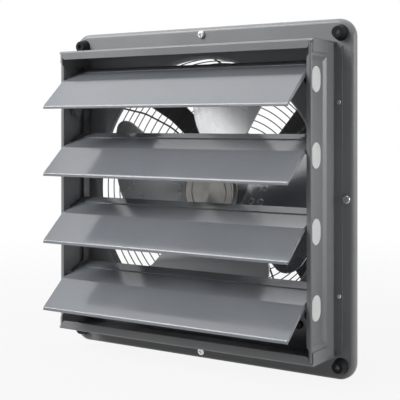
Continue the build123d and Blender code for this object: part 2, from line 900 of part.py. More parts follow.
# Shielded ball bearings at the two ends of the bearing tube
for name, bearing_y in (("front_bearing", tube_front_y), ("rear_bearing", shield_front_y)):
    with BuildPart() as bearing:
        with BuildSketch(front_plane(bearing_y + bearing_width)):
            Circle(bearing_r)
            Circle(shaft_r + shaft_fit, mode=Mode.SUBTRACT)
        extrude(amount=bearing_width)
        for plane in (front_plane(bearing_y), back_plane(bearing_y + bearing_width)):
            with BuildSketch(plane):
                Circle(bearing_shield_out)
                Circle(bearing_shield_in, mode=Mode.SUBTRACT)
            extrude(amount=-bearing_shield_depth, mode=Mode.SUBTRACT)
    save(bearing, name)

# Stator core: a stack of slotted laminations pressed on the bearing tube
slot_middle_r = (slot_inner_r + slot_outer_r) / 2
slot_height = slot_outer_r - slot_inner_r
with BuildPart() as stator_core:
    with BuildSketch(front_plane(core_front_y + core_length)):
        Circle(core_r)
        Circle(tube_r, mode=Mode.SUBTRACT)
        with PolarLocations(slot_middle_r, core_slots):
            Rectangle(slot_height, slot_width, mode=Mode.SUBTRACT)
        with PolarLocations(core_r, core_slots):
            Rectangle(2 * (core_r - slot_outer_r), slot_mouth, mode=Mode.SUBTRACT)
    extrude(amount=core_length)
save(stator_core, "stator_core")

# Stator winding: a coil head at each end of the core, joined by the wires in its slots
with BuildPart() as stator_winding:
    for plane in (front_plane(core_front_y), back_plane(core_front_y + core_length)):
        with BuildSketch(plane):
            Circle(winding_outer_r)
            Circle(winding_inner_r, mode=Mode.SUBTRACT)
        extrude(amount=winding_length)
    with BuildSketch(front_plane(core_front_y + core_length)):
        with PolarLocations(slot_middle_r, core_slots):
            Rectangle(slot_height - 2 * slot_liner, slot_width - 2 * slot_liner)
    extrude(amount=core_length)
save(stator_winding, "stator_winding")

# Bolts through the terminal box floor and the spider plate into the stator flange
base_bolt_length = term_wall + arm_sheet + base_thickness
motor_bolts = screws(
    back_plane(plate_back_y + term_wall),
    base_bolt_places,
    base_bolt_r,
    base_bolt_length,
    base_bolt_head_r,
    base_bolt_head,
)
save(motor_bolts, "motor_bolts")

# Rotor can: a turned aluminium cup with a ring groove on its face and a boss for the shaft
can_inner_r = can_r - can_wall
with BuildPart() as rotor_can:
    with BuildSketch(Plane.XY) as section:
        Polygon(
            (0, can_front_y),
            (groove_r - groove_depth, can_front_y),
            (groove_r, can_front_y + groove_depth),
            (groove_r + groove_depth, can_front_y),
            (can_r, can_front_y),
            (can_r, can_back_y),
            (can_inner_r, can_back_y),
            (can_inner_r, can_front_y + can_wall),
            (can_boss_r, can_front_y + can_wall),
            (can_boss_r, can_front_y + can_wall + can_boss),
            (shaft_r, can_front_y + can_wall + can_boss),
            (shaft_r, can_front_y + shaft_cover),
            (0, can_front_y + shaft_cover),
            align=None,
        )
        front_corner = section.vertices().group_by(Axis.X)[-1].sort_by(Axis.Y)[0]
        fillet(front_corner, radius=can_edge_r)
    revolve(axis=Axis.Y)
save(rotor_can, "rotor_can")

# Rotor cage: the laminated ring with cast bars that lines the can
with BuildPart() as rotor_cage:
    with BuildSketch(front_plane(can_front_y + cage_inset + cage_length)):
        Circle(can_inner_r)
        Circle(can_inner_r - cage_wall, mode=Mode.SUBTRACT)
    extrude(amount=cage_length)
save(rotor_cage, "rotor_cage")

# Motor shaft, pressed into the can and held behind the rear bearing by a spring clip
clip_front_y = shield_front_y + bearing_width + clip_gap
with BuildPart() as motor_shaft:
    with BuildSketch(Plane.XY):
        Polygon(
            (0, can_front_y + shaft_cover),
            (shaft_r, can_front_y + shaft_cover),
            (shaft_r, clip_front_y),
            (shaft_r - clip_groove, clip_front_y),
            (shaft_r - clip_groove, clip_front_y + clip_width),
            (shaft_r, clip_front_y + clip_width),
            (shaft_r, clip_front_y + shaft_tail),
            (0, clip_front_y + shaft_tail),
            align=None,
        )
    revolve(axis=Axis.Y)
save(motor_shaft, "motor_shaft")

with BuildPart() as shaft_clip:
    with BuildSketch(front_plane(clip_front_y + clip_width)):
        Circle(clip_r)
        Circle(shaft_r - clip_groove, mode=Mode.SUBTRACT)
        with Locations((0, -clip_r)):
            Rectangle(2 * clip_groove, 2 * clip_r, mode=Mode.SUBTRACT)
    extrude(amount=clip_width)
save(shaft_clip, "shaft_clip")

# Fan wheel. Each blade is a twisted strip cut to a rounded sector, pitched more at its root.
middle_angle = blade_first_angle + blade_span_angle / 2
blade_angles = [middle_angle + full_turn / blade_count * n for n in range(blade_count)]


def station_plane(angle, station, depth, pitch):
    """Plane across a blade at one station: first axis along the pitched sheet, second to its front."""
    outward = Vector(1, 0, 0).rotate(Axis.Y, -angle)
    flat = Vector(0, 0, 1).rotate(Axis.Y, -angle)
    tilt = math.radians(pitch)
    chord = flat * math.cos(tilt) + Vector(0, 1, 0) * math.sin(tilt)
    return Plane(origin=outward * station + Vector(0, panel_front + depth, 0), x_dir=chord, z_dir=outward)


def blade_point(angle, radius, step):
    """Point on the middle surface of a blade, at a distance out and sideways from its middle line."""
    share = (radius - blade_root_station) / (blade_tip_station - blade_root_station)
    root = math.radians(blade_root_pitch)
    tip = math.radians(blade_tip_pitch)
    rise = math.sin(root) + (math.sin(tip) - math.sin(root)) * share
    run = math.cos(root) + (math.cos(tip) - math.cos(root)) * share
    depth = blade_root_depth + (blade_tip_depth - blade_root_depth) * share
    across, up = around(radius, angle, step)
    return Vector(across, panel_front + depth + step * rise / run, up)


def rivet_planes(angle):
    """Planes on the blade's middle surface at its rivets, facing the front."""
    planes = []
    for radius in (rivet_inner_r, rivet_outer_r):
        for step in (-rivet_spread, rivet_spread):
            point = blade_point(angle, radius, step)
            out = blade_point(angle, radius + rivet_r, step) - point
            side = blade_point(angle, radius, step + rivet_r) - point
            planes.append(Plane(origin=point, x_dir=out, z_dir=out.cross(side)))
    return planes


def twisted_strip(angle, offset, thickness):
    """Solid strip that follows the twist of a blade, moved off its middle surface."""
    with BuildPart() as strip:
        for station, depth, pitch in (
            (blade_root_station, blade_root_depth, blade_root_pitch),
            (blade_tip_station, blade_tip_depth, blade_tip_pitch),
        ):
            with BuildSketch(station_plane(angle, station, depth, pitch)):
                with Locations((0, offset)):
                    Rectangle(blade_strip, thickness)
        loft()
    return strip


def plan_plane(angle):
    """Front plane turned so that its first axis runs out along the middle of a blade."""
    return Plane(origin=(0, 0, 0), x_dir=Vector(1, 0, 0).rotate(Axis.Y, -angle), z_dir=(0, -1, 0))


def fan_blade(angle):
    """One blade: the twisted strip cut to its outline, with holes for the rivets."""
    strip = twisted_strip(angle, 0, blade_sheet)
    with BuildPart() as blade:
        add(strip.part)
        with BuildSketch(plan_plane(angle)) as outline:
            with BuildLine():
                tip = CenterArc((0, 0), blade_tip_r, -blade_span_angle / 2, blade_span_angle)
                root = CenterArc((0, 0), blade_root_r, -blade_span_angle / 2, blade_span_angle)
                Line(tip @ 0, root @ 0)
                Line(tip @ 1, root @ 1)
            make_face()
            outer = outline.vertices().sort_by(Axis.X)[-2:].sort_by(Axis.Y)
            fillet(outer[0], radius=blade_lead_r)
            outer = outline.vertices().sort_by(Axis.Y)[-1]
            fillet(outer, radius=blade_trail_r)
        extrude(amount=2 * plate_back_y, both=True, mode=Mode.INTERSECT)
        for plane in rivet_planes(angle):
            with BuildSketch(plane):
                Circle(rivet_r)
            extrude(amount=overrun, both=True, mode=Mode.SUBTRACT)
    return blade


for number, angle in enumerate(blade_angles, start=1):
    save(fan_blade(angle), f"fan_blade_{number}")


def blade_bracket(angle):
    """Bracket behind a blade: a strip of the same twist, cut to a tongue with round corners."""
    offset = -(blade_sheet + bracket_sheet) / 2 - weld_gap
    strip = twisted_strip(angle, offset, bracket_sheet)
    with BuildPart() as bracket:
        add(strip.part)
        with BuildSketch(plan_plane(angle)) as outline:
            with Locations(((bracket_inner_r + bracket_reach) / 2, 0)):
                Rectangle(bracket_reach - bracket_inner_r, bracket_width)
            fillet(outline.vertices().group_by(Axis.X)[-1], radius=bracket_corner_r)
        extrude(amount=2 * plate_back_y, both=True, mode=Mode.INTERSECT)
        for plane in rivet_planes(angle):
            with BuildSketch(plane):
                Circle(rivet_r)
            extrude(amount=overrun, both=True, mode=Mode.SUBTRACT)
    return bracket


# Blade hub: a pressed sleeve on the can with four brackets that the blades are riveted to
hub_front_y = panel_front + hub_front_depth
brackets = [blade_bracket(angle) for angle in blade_angles]
with BuildPart() as blade_hub:
    for bracket in brackets:
        add(bracket.part)
    with BuildSketch(front_plane(hub_front_y + hub_length)):
        Circle(can_r + hub_sheet)
    extrude(amount=hub_length)
    with BuildSketch(front_plane(hub_front_y + hub_length)):
        Circle(can_r)
    extrude(amount=hub_length, mode=Mode.SUBTRACT)
save(blade_hub, "blade_hub")

# Rivets through the blades and their brackets, with a round head on each side
front_seat = blade_sheet / 2 + weld_gap
back_seat = blade_sheet / 2 + bracket_sheet + 2 * weld_gap
with BuildPart() as blade_rivets:
    for angle in blade_angles:
        for plane in rivet_planes(angle):
            with BuildSketch(plane.offset(-back_seat - rivet_head)):
                Circle(rivet_r)
            extrude(amount=back_seat + front_seat + 2 * rivet_head)
            with BuildSketch(plane.offset(front_seat)):
                Circle(rivet_head_r)
            extrude(amount=rivet_head)
            with BuildSketch(plane.offset(-back_seat)):
                Circle(rivet_head_r)
            extrude(amount=-rivet_head)
save(blade_rivets, "blade_rivets")

# Terminal box: a moulded box with four lid bosses, bolted down by the motor bolts
lid_front_y = plate_back_y + term_depth
gland_y = plate_back_y + term_depth / 2
gland_plane = Plane(origin=(0, gland_y, -term_height / 2), x_dir=(1, 0, 0), z_dir=(0, 0, -1))
lid_screw_places = corners(term_width - 2 * lid_screw_inset, term_height - 2 * lid_screw_inset)
with BuildPart() as terminal_box:
    with BuildSketch(back_plane(plate_back_y)):
        RectangleRounded(term_width, term_height, term_corner_r)
    extrude(amount=term_depth)
    with BuildSketch(back_plane(plate_back_y + term_wall)):
        RectangleRounded(
            term_width - 2 * term_wall, term_height - 2 * term_wall, term_corner_r - term_wall
        )
    extrude(amount=term_depth, mode=Mode.SUBTRACT)
    with BuildSketch(back_plane(plate_back_y + term_wall)):
        with Locations(*lid_screw_places):
            Circle(lid_boss_r)
    extrude(amount=term_depth - term_wall)
    with BuildSketch(back_plane(lid_front_y)):
        with Locations(*lid_screw_places):
            Circle(lid_screw_r)
    extrude(amount=-lid_screw_length, mode=Mode.SUBTRACT)
    with BuildSketch(back_plane(plate_back_y)):
        Circle(wire_hole_r)
        with Locations(*base_bolt_places):
            Circle(base_bolt_r + screw_clearance)
    extrude(amount=term_wall, mode=Mode.SUBTRACT)
    with BuildSketch(gland_plane):
        Circle(gland_thread_r + gland_gap)
    extrude(amount=-term_wall, mode=Mode.SUBTRACT)
save(terminal_box, "terminal_box")

with BuildPart() as terminal_lid:
    with BuildSketch(back_plane(lid_front_y)):
        RectangleRounded(term_width, term_height, term_corner_r)
        with Locations(*lid_screw_places):
            Circle(lid_screw_r + screw_clearance, mode=Mode.SUBTRACT)
    extrude(amount=lid_thickness)
save(terminal_lid, "terminal_lid")

lid_screws = screws(
    back_plane(lid_front_y + lid_thickness),
    lid_screw_places,
    lid_screw_r,
    lid_thickness + lid_screw_length - screw_tail,
    lid_head_r,
    lid_head,
)
save(lid_screws, "lid_screws")

# Cord gland in the bottom wall of the terminal box, with its lock nut inside
with BuildPart() as cable_gland:
    with BuildSketch(gland_plane):
        RegularPolygon(gland_hex_r, 6)
    extrude(amount=gland_hex)
    with BuildSketch(gland_plane.offset(gland_hex)):
        Circle(gland_body_r)
    extrude(amount=gland_body)
    fillet(cable_gland.faces().sort_by(Axis.Z)[0].edges(), radius=gland_edge_r)
    with BuildSketch(gland_plane):
        Circle(gland_thread_r)
    extrude(amount=-(term_wall + gland_nut_height + gland_thread_tail))
    with BuildSketch(gland_plane.offset(gland_hex + gland_body)):
        Circle(gland_bore_r)
    gland_length = gland_hex + gland_body + term_wall + gland_nut_height + gland_thread_tail
    extrude(amount=-gland_length, mode=Mode.SUBTRACT)
save(cable_gland, "cable_gland")

with BuildPart() as gland_nut:
    with BuildSketch(gland_plane.offset(-term_wall)):
        RegularPolygon(gland_hex_r, 6)
        Circle(gland_thread_r, mode=Mode.SUBTRACT)
    extrude(amount=-gland_nut_height)
save(gland_nut, "gland_nut")

# Terminal block: a moulded strip with a screw pocket for each way
floor_y = plate_back_y + term_wall
way_pitch = block_width / block_ways
with BuildPart() as terminal_block:
    with BuildSketch(back_plane(floor_y)):
        with Locations((0, -block_drop)):
            Rectangle(block_width, block_height)
    extrude(amount=block_depth)
    with BuildSketch(back_plane(floor_y + block_depth)):
        with Locations((0, -block_drop)):
            with GridLocations(way_pitch, block_height / 2, block_ways, 2):
                Circle(block_pocket_r)
    extrude(amount=-block_pocket, mode=Mode.SUBTRACT)
save(terminal_block, "terminal_block")

# Run capacitor: a sealed can lying on the floor of the terminal box
with BuildPart() as run_capacitor:
    with BuildSketch(side_plane(-capacitor_length / 2)):
        with Locations((floor_y + capacitor_r, capacitor_rise)):
            Circle(capacitor_r)
    extrude(amount=capacitor_length)
    fillet(run_capacitor.edges(), radius=capacitor_edge_r)
save(run_capacitor, "run_capacitor")
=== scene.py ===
import math

import bpy
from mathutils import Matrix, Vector


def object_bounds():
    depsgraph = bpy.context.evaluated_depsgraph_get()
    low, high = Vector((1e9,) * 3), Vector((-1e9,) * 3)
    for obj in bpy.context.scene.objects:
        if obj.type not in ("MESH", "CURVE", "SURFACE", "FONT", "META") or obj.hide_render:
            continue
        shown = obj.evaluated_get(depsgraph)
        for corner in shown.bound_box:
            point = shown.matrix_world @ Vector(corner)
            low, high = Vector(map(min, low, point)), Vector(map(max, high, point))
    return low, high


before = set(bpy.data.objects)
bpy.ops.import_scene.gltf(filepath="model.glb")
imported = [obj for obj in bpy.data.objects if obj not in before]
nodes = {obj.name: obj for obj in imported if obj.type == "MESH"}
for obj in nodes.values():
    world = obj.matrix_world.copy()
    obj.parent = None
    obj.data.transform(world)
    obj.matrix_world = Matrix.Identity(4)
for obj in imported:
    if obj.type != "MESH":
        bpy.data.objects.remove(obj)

cad_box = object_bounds()


# Orifice panel
# The square orifice panel is one pressing of 1.5 mm steel sheet: rim turned back, a rounded
# collar at the opening. It is powder coated a neutral mid grey with a fine orange peel,
# slightly uneven in gloss.

def new_group(name, inputs, outputs):
    """An empty node group with the named sockets, and its input and output nodes."""
    tree = bpy.data.node_groups.new(name, "ShaderNodeTree")
    for label, kind, value in inputs:
        socket = tree.interface.new_socket(label, in_out="INPUT", socket_type=kind)
        socket.default_value = value
    for label, kind in outputs:
        tree.interface.new_socket(label, in_out="OUTPUT", socket_type=kind)
    return tree, tree.nodes.new("NodeGroupInput"), tree.nodes.new("NodeGroupOutput")


def noise(tree, vector, scale, detail=3.0):
    """A noise texture on the given vector."""
    node = tree.nodes.new("ShaderNodeTexNoise")
    node.inputs["Detail"].default_value = detail
    if isinstance(scale, float):
        node.inputs["Scale"].default_value = scale
    else:
        tree.links.new(scale, node.inputs["Scale"])
    tree.links.new(vector, node.inputs["Vector"])
    return node.outputs["Fac"]


def remap(tree, value, low, high, from_low=0.3, from_high=0.7):
    """A value stretched from its usual range to another; the ends may be sockets."""
    node = tree.nodes.new("ShaderNodeMapRange")
    node.interpolation_type = "SMOOTHSTEP"
    tree.links.new(value, node.inputs["Value"])
    node.inputs["From Min"].default_value = from_low
    node.inputs["From Max"].default_value = from_high
    for end, label in ((low, "To Min"), (high, "To Max")):
        if isinstance(end, (int, float)):
            node.inputs[label].default_value = end
        else:
            tree.links.new(end, node.inputs[label])
    return node.outputs["Result"]


def mix_colour(tree, factor, first, second):
    """A colour mixed from two; each may be a socket or a colour."""
    node = tree.nodes.new("ShaderNodeMix")
    node.data_type = "RGBA"
    tree.links.new(factor, node.inputs["Factor"])
    for colour, slot in ((first, 6), (second, 7)):
        if isinstance(colour, tuple):
            node.inputs[slot].default_value = (*colour, 1.0)
        else:
            tree.links.new(colour, node.inputs[slot])
    return node.outputs[2]


def math_node(tree, kind, first, second=None):
    """One arithmetic node; each side may be a socket or a number."""
    node = tree.nodes.new("ShaderNodeMath")
    node.operation = kind
    for slot, value in enumerate((first, second)):
        if value is None:
            continue
        if isinstance(value, (int, float)):
            node.inputs[slot].default_value = value
        else:
            tree.links.new(value, node.inputs[slot])
    return node.outputs[0]


def bumped(tree, height, strength, distance, normal=None):
    """A normal bent by a height; the strength may be a socket."""
    node = tree.nodes.new("ShaderNodeBump")
    node.inputs["Distance"].default_value = distance
    if isinstance(strength, (int, float)):
        node.inputs["Strength"].default_value = strength
    else:
        tree.links.new(strength, node.inputs["Strength"])
    tree.links.new(height, node.inputs["Height"])
    if normal is not None:
        tree.links.new(normal, node.inputs["Normal"])
    return node.outputs["Normal"]


# Coated sheet: cloudy tone, fine orange peel, and edges rounded and painted a little lighter, a painted
# highlight that also stands for slight wear.
edge_radius = 0.0007
# Pale grey painted onto the rounded edges as a highlight, with a little wear.
edge_highlight_tone = (0.42, 0.43, 0.44)
coat_tree, coat_in, coat_out = new_group(
    "coated_sheet",
    [
        ("Dark", "NodeSocketColor", (0.2, 0.2, 0.2, 1.0)),
        ("Light", "NodeSocketColor", (0.3, 0.3, 0.3, 1.0)),
        ("Gloss", "NodeSocketFloat", 0.35),
        ("Peel", "NodeSocketFloat", 0.1),
        ("Edge", "NodeSocketFloat", 0.25),
    ],
    [("Color", "NodeSocketColor"), ("Roughness", "NodeSocketFloat"), ("Normal", "NodeSocketVector")],
)
place = coat_tree.nodes.new("ShaderNodeTexCoord").outputs["Object"]
clouds = noise(coat_tree, place, 9.0, 4.0)
specks = noise(coat_tree, place, 420.0, 2.0)
peel = noise(coat_tree, place, 900.0, 1.0)
tone = math_node(coat_tree, "ADD", math_node(coat_tree, "MULTIPLY", clouds, 0.75),
                 math_node(coat_tree, "MULTIPLY", specks, 0.25))
body = mix_colour(coat_tree, remap(coat_tree, tone, 0.0, 1.0),
                  coat_in.outputs["Dark"], coat_in.outputs["Light"])
round_edge = coat_tree.nodes.new("ShaderNodeBevel")
round_edge.samples = 6
round_edge.inputs["Radius"].default_value = edge_radius
flat = coat_tree.nodes.new("ShaderNodeNewGeometry").outputs["True Normal"]
bend = coat_tree.nodes.new("ShaderNodeVectorMath")
bend.operation = "DOT_PRODUCT"
coat_tree.links.new(round_edge.outputs["Normal"], bend.inputs[0])
coat_tree.links.new(flat, bend.inputs[1])
# Painted highlight: the bevel mask lightens the rounded edges toward the pale grey.
edge = remap(coat_tree, bend.outputs["Value"], coat_in.outputs["Edge"], 0.0, 0.8, 0.995)
highlighted_body = mix_colour(coat_tree, edge, body, edge_highlight_tone)
coat_tree.links.new(highlighted_body, coat_out.inputs["Color"])
coat_tree.links.new(
    math_node(coat_tree, "ADD", coat_in.outputs["Gloss"], remap(coat_tree, clouds, -0.04, 0.06)),
    coat_out.inputs["Roughness"],
)
coat_tree.links.new(
    bumped(coat_tree, peel, coat_in.outputs["Peel"], 0.0004, round_edge.outputs["Normal"]),
    coat_out.inputs["Normal"],
)


def new_material(name, **constants):
    """A material with one Principled shader whose constants are set on its own sockets."""
    material = bpy.data.materials.new(name)
    material.use_nodes = True
    tree = material.node_tree
    shader = tree.nodes["Principled BSDF"]
    for label, value in constants.items():
        shader.inputs[label.replace("_", " ")].default_value = value
    return material, tree, shader


def grouped(name, group, values, **constants):
    """A material whose colour, roughness and normal come from a node group."""
    material, tree, shader = new_material(name, **constants)
    node = tree.nodes.new("ShaderNodeGroup")
    node.node_tree = group
    for label, value in values.items():
        node.inputs[label].default_value = (*value, 1.0) if isinstance(value, tuple) else value
    for label, target in (("Color", "Base Color"), ("Roughness", "Roughness"), ("Normal", "Normal")):
        tree.links.new(node.outputs[label], shader.inputs[target])
    return material


def coated(name, dark, light, gloss, peel, edge=0.25, **constants):
    """Paint or powder coat on sheet metal."""
    values = {"Dark": dark, "Light": light, "Gloss": gloss, "Peel": peel, "Edge": edge}
    return grouped(name, coat_tree, values, **constants)


def dress(material, *names):
    """Gives CAD nodes a material in place of the one they came with."""
    for name in names:
        for slot in nodes[name].material_slots:
            slot.material = material


panel_paint = coated("panel_paint", (0.25, 0.255, 0.265), (0.285, 0.29, 0.3), 0.34, 0.1, 0.1)
dress(panel_paint, "orifice_panel")


# Rubber feet
# Four tapered rubber buffers, moulded in black, each round a blackened steel sleeve that
# takes the wall bolt. The rubber is matt, dusty in places, with a faint moulding grain.

mould_tree, mould_in, mould_out = new_group(
    "moulded",
    [
        ("Dark", "NodeSocketColor", (0.02, 0.02, 0.02, 1.0)),
        ("Light", "NodeSocketColor", (0.05, 0.05, 0.05, 1.0)),
        ("Gloss", "NodeSocketFloat", 0.6),
        ("Grain", "NodeSocketFloat", 0.2),
        ("Grain Scale", "NodeSocketFloat", 1500.0),
    ],
    [("Color", "NodeSocketColor"), ("Roughness", "NodeSocketFloat"), ("Normal", "NodeSocketVector")],
)
place = mould_tree.nodes.new("ShaderNodeTexCoord").outputs["Object"]
dust = noise(mould_tree, place, 60.0, 5.0)
grain = noise(mould_tree, place, mould_in.outputs["Grain Scale"], 2.0)
mould_tree.links.new(
    mix_colour(mould_tree, remap(mould_tree, dust, 0.0, 1.0),
               mould_in.outputs["Dark"], mould_in.outputs["Light"]),
    mould_out.inputs["Color"],
)
mould_tree.links.new(
    math_node(mould_tree, "ADD", mould_in.outputs["Gloss"], remap(mould_tree, dust, -0.08, 0.08)),
    mould_out.inputs["Roughness"],
)
mould_tree.links.new(
    bumped(mould_tree, grain, mould_in.outputs["Grain"], 0.0004), mould_out.inputs["Normal"]
)


def moulded(name, dark, light, gloss, grain_strength, grain_scale=1500.0, **constants):
    """Moulded rubber or plastic."""
    values = {"Dark": dark, "Light": light, "Gloss": gloss, "Grain": grain_strength,
              "Grain Scale": grain_scale}
    return grouped(name, mould_tree, values, **constants)


# Plated or bare metal: fine scratches, cloudy reflection.
metal_tree, metal_in, metal_out = new_group(
    "bare_metal",
    [
        ("Dark", "NodeSocketColor", (0.4, 0.4, 0.4, 1.0)),
        ("Light", "NodeSocketColor", (0.7, 0.7, 0.7, 1.0)),
        ("Gloss", "NodeSocketFloat", 0.3),
        ("Marks", "NodeSocketFloat", 0.2),
        ("Marks Scale", "NodeSocketFloat", 700.0),
    ],
    [("Color", "NodeSocketColor"), ("Roughness", "NodeSocketFloat"), ("Normal", "NodeSocketVector")],
)
place = metal_tree.nodes.new("ShaderNodeTexCoord").outputs["Object"]
stretch = metal_tree.nodes.new("ShaderNodeMapping")
stretch.inputs["Scale"].default_value = (1.0, 0.2, 3.0)
metal_tree.links.new(place, stretch.inputs["Vector"])
marks = noise(metal_tree, stretch.outputs["Vector"], metal_in.outputs["Marks Scale"], 3.0)
bloom = noise(metal_tree, place, 90.0, 4.0)
metal_tree.links.new(
    mix_colour(metal_tree, remap(metal_tree, bloom, 0.0, 1.0),
               metal_in.outputs["Dark"], metal_in.outputs["Light"]),
    metal_out.inputs["Color"],
)
metal_tree.links.new(
    math_node(metal_tree, "ADD", metal_in.outputs["Gloss"], remap(metal_tree, marks, -0.06, 0.1)),
    metal_out.inputs["Roughness"],
)
metal_tree.links.new(
    bumped(metal_tree, marks, metal_in.outputs["Marks"], 0.0003), metal_out.inputs["Normal"]
)


def bare(name, dark, light, gloss, marks_strength, marks_scale=700.0, **constants):
    """Bare or plated metal."""
    values = {"Dark": dark, "Light": light, "Gloss": gloss, "Marks": marks_strength,
              "Marks Scale": marks_scale}
    return grouped(name, metal_tree, values, Metallic=1.0, **constants)


rubber = moulded("black_rubber", (0.006, 0.006, 0.007), (0.018, 0.018, 0.019), 0.6, 0.25,
                 Specular_IOR_Level=0.2)
zinc = bare("bright_zinc", (0.62, 0.64, 0.66), (0.86, 0.87, 0.88), 0.24, 0.15)
black_steel = bare("black_steel", (0.025, 0.025, 0.026), (0.05, 0.05, 0.052), 0.42, 0.2)
dress(rubber, "mounting_feet")
dress(black_steel, "foot_sleeves")


# Shutter box rails
# The shutter box is four folded rails of 1.2 mm sheet in the same powder coat as the panel,
# a shade darker. The side rails have a pressed-in panel for the louvre bushes and a rear
# flange held by small bright screws.

rail_paint = coated("rail_paint", (0.22, 0.222, 0.23), (0.255, 0.258, 0.266), 0.32, 0.1, 0.15)
dress(rail_paint, "top_rail", "bottom_rail", "left_rail", "right_rail")
dress(zinc, "rail_screws")


# Pivot bushes
# Eight snap-in bushes of natural nylon, one at each end of each louvre. The nylon is milky
# white, smooth and slightly translucent.

nylon = moulded("natural_nylon", (0.84, 0.86, 0.85), (0.9, 0.91, 0.9), 0.38, 0.05,
                Subsurface_Weight=0.15, Subsurface_Scale=0.002)
dress(nylon, "pivot_bushes")


# Louvres
# Four bent louvres of thin sheet with a hemmed front edge and a pressed bead, in a glossier
# grey coat. Their pins, cranks, tie bar and balance weight are zinc plated.

louvre_paint = coated("louvre_paint", (0.205, 0.218, 0.24), (0.235, 0.25, 0.273), 0.14, 0.012, 0.05,
                      Specular_IOR_Level=0.6)
for number in range(1, 5):
    dress(louvre_paint, f"louvre_{number}")
dull_zinc = bare("dull_zinc", (0.3, 0.305, 0.315), (0.42, 0.425, 0.43), 0.42, 0.2)
for number in range(1, 5):
    dress(dull_zinc, f"louvre_crank_{number}", f"louvre_pivots_{number}")
dress(dull_zinc, "balance_weight", "tie_bar")


# Fan wheel
# Four pitched blades of bare rolled aluminium, riveted to brackets on a pressed sleeve. The
# sleeve sits on the aluminium rotor can, whose face is turned and catches the light in two
# bright wedges.

blade_sheet = coated("blade_sheet", (0.56, 0.565, 0.575), (0.66, 0.665, 0.68), 0.24, 0.0, 0.1,
                     Metallic=1.0)
dress(blade_sheet, "fan_blade_1", "fan_blade_2", "fan_blade_3", "fan_blade_4", "blade_hub")
dress(blade_sheet, "blade_rivets")

turned, tree, shader = new_material("turned_aluminium", Metallic=1.0, Anisotropic=0.95)
place = tree.nodes.new("ShaderNodeTexCoord").outputs["Object"]
split = tree.nodes.new("ShaderNodeSeparateXYZ")
tree.links.new(place, split.inputs["Vector"])
radius = math_node(tree, "SQRT", math_node(
    tree, "ADD",
    math_node(tree, "MULTIPLY", split.outputs["X"], split.outputs["X"]),
    math_node(tree, "MULTIPLY", split.outputs["Z"], split.outputs["Z"])))
rings = tree.nodes.new("ShaderNodeCombineXYZ")
tree.links.new(radius, rings.inputs["X"])
tree.links.new(split.outputs["Y"], rings.inputs["Y"])
cuts = noise(tree, rings.outputs["Vector"], 2200.0, 2.0)
haze = noise(tree, place, 40.0, 3.0)
haze_tone = mix_colour(tree, remap(tree, haze, 0.0, 1.0), (0.52, 0.505, 0.48), (0.64, 0.625, 0.595))
tree.links.new(haze_tone, shader.inputs["Base Color"])
tree.links.new(remap(tree, cuts, 0.34, 0.42), shader.inputs["Roughness"])
tree.links.new(bumped(tree, cuts, 0.03, 0.0002), shader.inputs["Normal"])
turn = tree.nodes.new("ShaderNodeTangent")
turn.direction_type = "RADIAL"
turn.axis = "Y"
tree.links.new(turn.outputs["Tangent"], shader.inputs["Tangent"])
dress(turned, "rotor_can")


# Motor inside the can
# The stator stands still inside the turning can: slotted laminations with varnished copper
# coils on a cast aluminium flange, two shielded bearings and a ground steel shaft.

plates, tree, shader = new_material("lamination_stack", Metallic=1.0)
place = tree.nodes.new("ShaderNodeTexCoord").outputs["Object"]
stack = tree.nodes.new("ShaderNodeTexWave")
stack.bands_direction = "Y"
stack.inputs["Scale"].default_value = 320.0
stack.inputs["Distortion"].default_value = 0.3
tree.links.new(place, stack.inputs["Vector"])
tree.links.new(mix_colour(tree, stack.outputs["Fac"], (0.1, 0.1, 0.105), (0.3, 0.3, 0.31)),
               shader.inputs["Base Color"])
tree.links.new(remap(tree, stack.outputs["Fac"], 0.4, 0.55, 0.0, 1.0), shader.inputs["Roughness"])
tree.links.new(bumped(tree, stack.outputs["Fac"], 0.4, 0.0003), shader.inputs["Normal"])
dress(plates, "stator_core", "rotor_cage")

copper = bare("varnished_copper", (0.5, 0.2, 0.09), (0.72, 0.33, 0.16), 0.3, 0.6, 500.0,
              Coat_Weight=0.4)
dress(copper, "stator_winding")
cast = bare("cast_aluminium", (0.38, 0.38, 0.385), (0.5, 0.5, 0.5), 0.5, 0.5, 260.0)
dress(cast, "stator_flange")
steel = bare("ground_steel", (0.5, 0.5, 0.51), (0.68, 0.68, 0.69), 0.25, 0.15)
dress(steel, "front_bearing", "rear_bearing", "motor_shaft", "shaft_clip")


# Guard, spider and fasteners
# The wire guard and the four-armed spider that carries the motor are mild steel under a thin
# black coat. Screws and nuts are bright zinc, the spider's bolts blackened steel.

wire_paint = coated("wire_coat", (0.012, 0.012, 0.013), (0.022, 0.022, 0.024), 0.36, 0.1, 0.02)
spider_paint = coated("spider_coat", (0.012, 0.012, 0.013), (0.022, 0.022, 0.023), 0.4, 0.15, 0.04)
dress(wire_paint, "guard_rings", "guard_ribs", "guard_tabs")
dress(spider_paint, "motor_spider")
dress(zinc, "guard_screws", "guard_nuts", "spider_nuts", "motor_bolts")
dress(black_steel, "spider_bolts")


# Terminal box
# A moulded black box behind the motor, with its lid, cord gland, terminal block and run
# capacitor. The moulding has a fine spark-eroded grain.

box_plastic = moulded("grained_plastic", (0.022, 0.022, 0.024), (0.035, 0.035, 0.037), 0.5, 0.5, 1100.0)
gland_plastic = moulded("smooth_plastic", (0.025, 0.025, 0.026), (0.04, 0.04, 0.04), 0.35, 0.05)
case_plastic = moulded("pale_plastic", (0.6, 0.6, 0.57), (0.68, 0.68, 0.65), 0.4, 0.08)
dress(box_plastic, "terminal_box", "terminal_lid")
dress(gland_plastic, "cable_gland", "gland_nut")
dress(case_plastic, "run_capacitor", "terminal_block")
dress(zinc, "lid_screws")


# Stage, light and camera
# The photograph is a cut-out on white under broad soft light. The fan stands on the lower
# edge of its panel on a white floor that fades into a white background.

